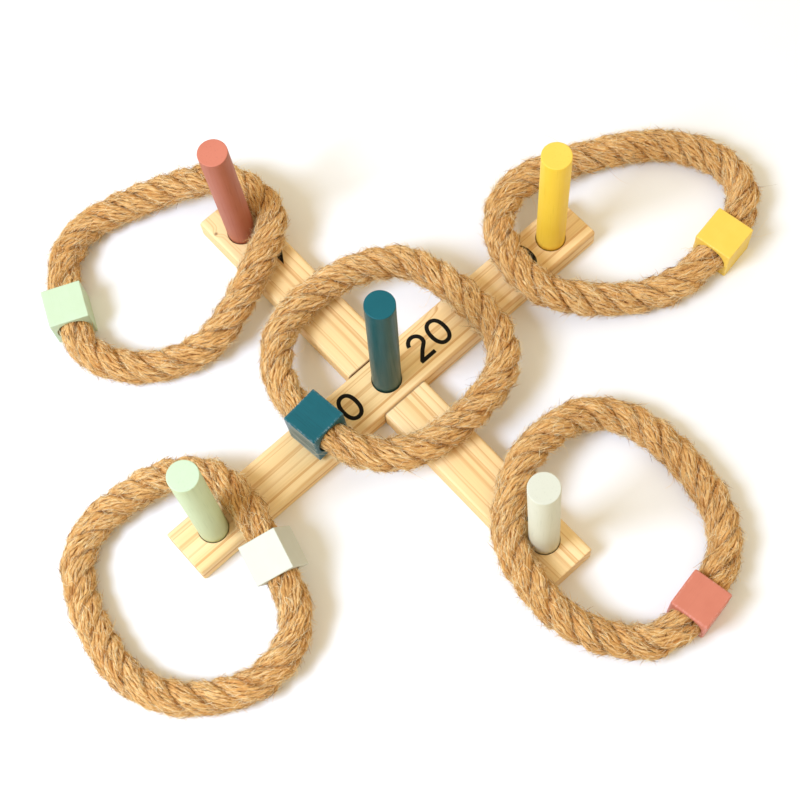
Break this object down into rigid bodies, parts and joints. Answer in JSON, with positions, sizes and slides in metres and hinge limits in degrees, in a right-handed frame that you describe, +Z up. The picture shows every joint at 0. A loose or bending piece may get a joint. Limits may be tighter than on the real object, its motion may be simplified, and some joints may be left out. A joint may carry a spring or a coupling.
{
  "type": "ring toss game",
  "caption": "Crossed pine slats with painted wooden pegs to throw rope rings over; each ring is thick jute rope closed by a painted wooden cube.",
  "frame": {"origin": "centre of the cross, on the slats' undersides", "axes": "+Z up; +X along the upper slat towards the yellow peg; +Y along the lower slat towards the red peg"},
  "size_m": [0.5596, 0.5089, 0.1318],
  "materials": {
    "pine": "planed, unvarnished",
    "jute_rope": "laid natural jute fibre",
    "glue": "hardened hot-melt glue",
    "paint_red": "satin paint on turned wood",
    "paint_yellow": "satin paint on turned wood",
    "paint_teal": "satin paint on turned wood",
    "paint_mint": "satin paint on turned wood",
    "paint_white": "satin paint on turned wood",
    "ink": "printed black numerals"
  },
  "bodies": {
    "lower_slat": {"lower_slat": "pine"},
    "upper_slat": {"upper_slat": "pine"},
    "red_peg": {"red_peg": "paint_red"},
    "yellow_peg": {"yellow_peg": "paint_yellow"},
    "teal_peg": {"teal_peg": "paint_teal"},
    "mint_peg": {"mint_peg": "paint_mint"},
    "white_peg": {"white_peg": "paint_white"},
    "mint_ring": {"mint_ring_rope": "jute_rope", "mint_ring_cube": "paint_mint", "mint_ring_glue": "glue"},
    "yellow_ring": {"yellow_ring_rope": "jute_rope", "yellow_ring_cube": "paint_yellow", "yellow_ring_glue": "glue"},
    "teal_ring": {"teal_ring_rope": "jute_rope", "teal_ring_cube": "paint_teal", "teal_ring_glue": "glue"},
    "white_ring": {"white_ring_rope": "jute_rope", "white_ring_cube": "paint_white", "white_ring_glue": "glue"},
    "red_ring": {"red_ring_rope": "jute_rope", "red_ring_cube": "paint_red", "red_ring_glue": "glue"}
  },
  "joints": [
    {"name": "upper_slat_lift", "type": "slide", "parent": "lower_slat", "child": "upper_slat", "axis": [0, 0, 1], "range_m": [0, 0.025]},
    {"name": "red_peg_pull", "type": "slide", "parent": "lower_slat", "child": "red_peg", "axis": [-0.0199, 0.0018, 0.9998], "range_m": [0, 0.03]},
    {"name": "yellow_peg_pull", "type": "slide", "parent": "upper_slat", "child": "yellow_peg", "axis": [0.0071, 0.0044, 1], "range_m": [0, 0.03]},
    {"name": "teal_peg_pull", "type": "slide", "parent": "upper_slat", "child": "teal_peg", "axis": [0.0442, 0.0088, 0.999], "range_m": [0, 0.03]},
    {"name": "mint_peg_pull", "type": "slide", "parent": "upper_slat", "child": "mint_peg", "axis": [0.0031, -0.0084, 1], "range_m": [0, 0.03]},
    {"name": "white_peg_pull", "type": "slide", "parent": "lower_slat", "child": "white_peg", "axis": [-0.0257, 0.0159, 0.9995], "range_m": [0, 0.03]},
    {"name": "mint_ring_lift", "type": "slide", "parent": "lower_slat", "child": "mint_ring", "axis": [-0.0199, 0.0018, 0.9998], "range_m": [0, 0.13]},
    {"name": "yellow_ring_lift", "type": "slide", "parent": "upper_slat", "child": "yellow_ring", "axis": [0.0071, 0.0044, 1], "range_m": [0, 0.13]},
    {"name": "teal_ring_lift", "type": "slide", "parent": "upper_slat", "child": "teal_ring", "axis": [0.0442, 0.0088, 0.999], "range_m": [0, 0.13]},
    {"name": "white_ring_lift", "type": "slide", "parent": "upper_slat", "child": "white_ring", "axis": [0.0031, -0.0084, 1], "range_m": [0, 0.13]},
    {"name": "red_ring_lift", "type": "slide", "parent": "lower_slat", "child": "red_ring", "axis": [-0.0257, 0.0159, 0.9995], "range_m": [0, 0.13]}
  ]
}
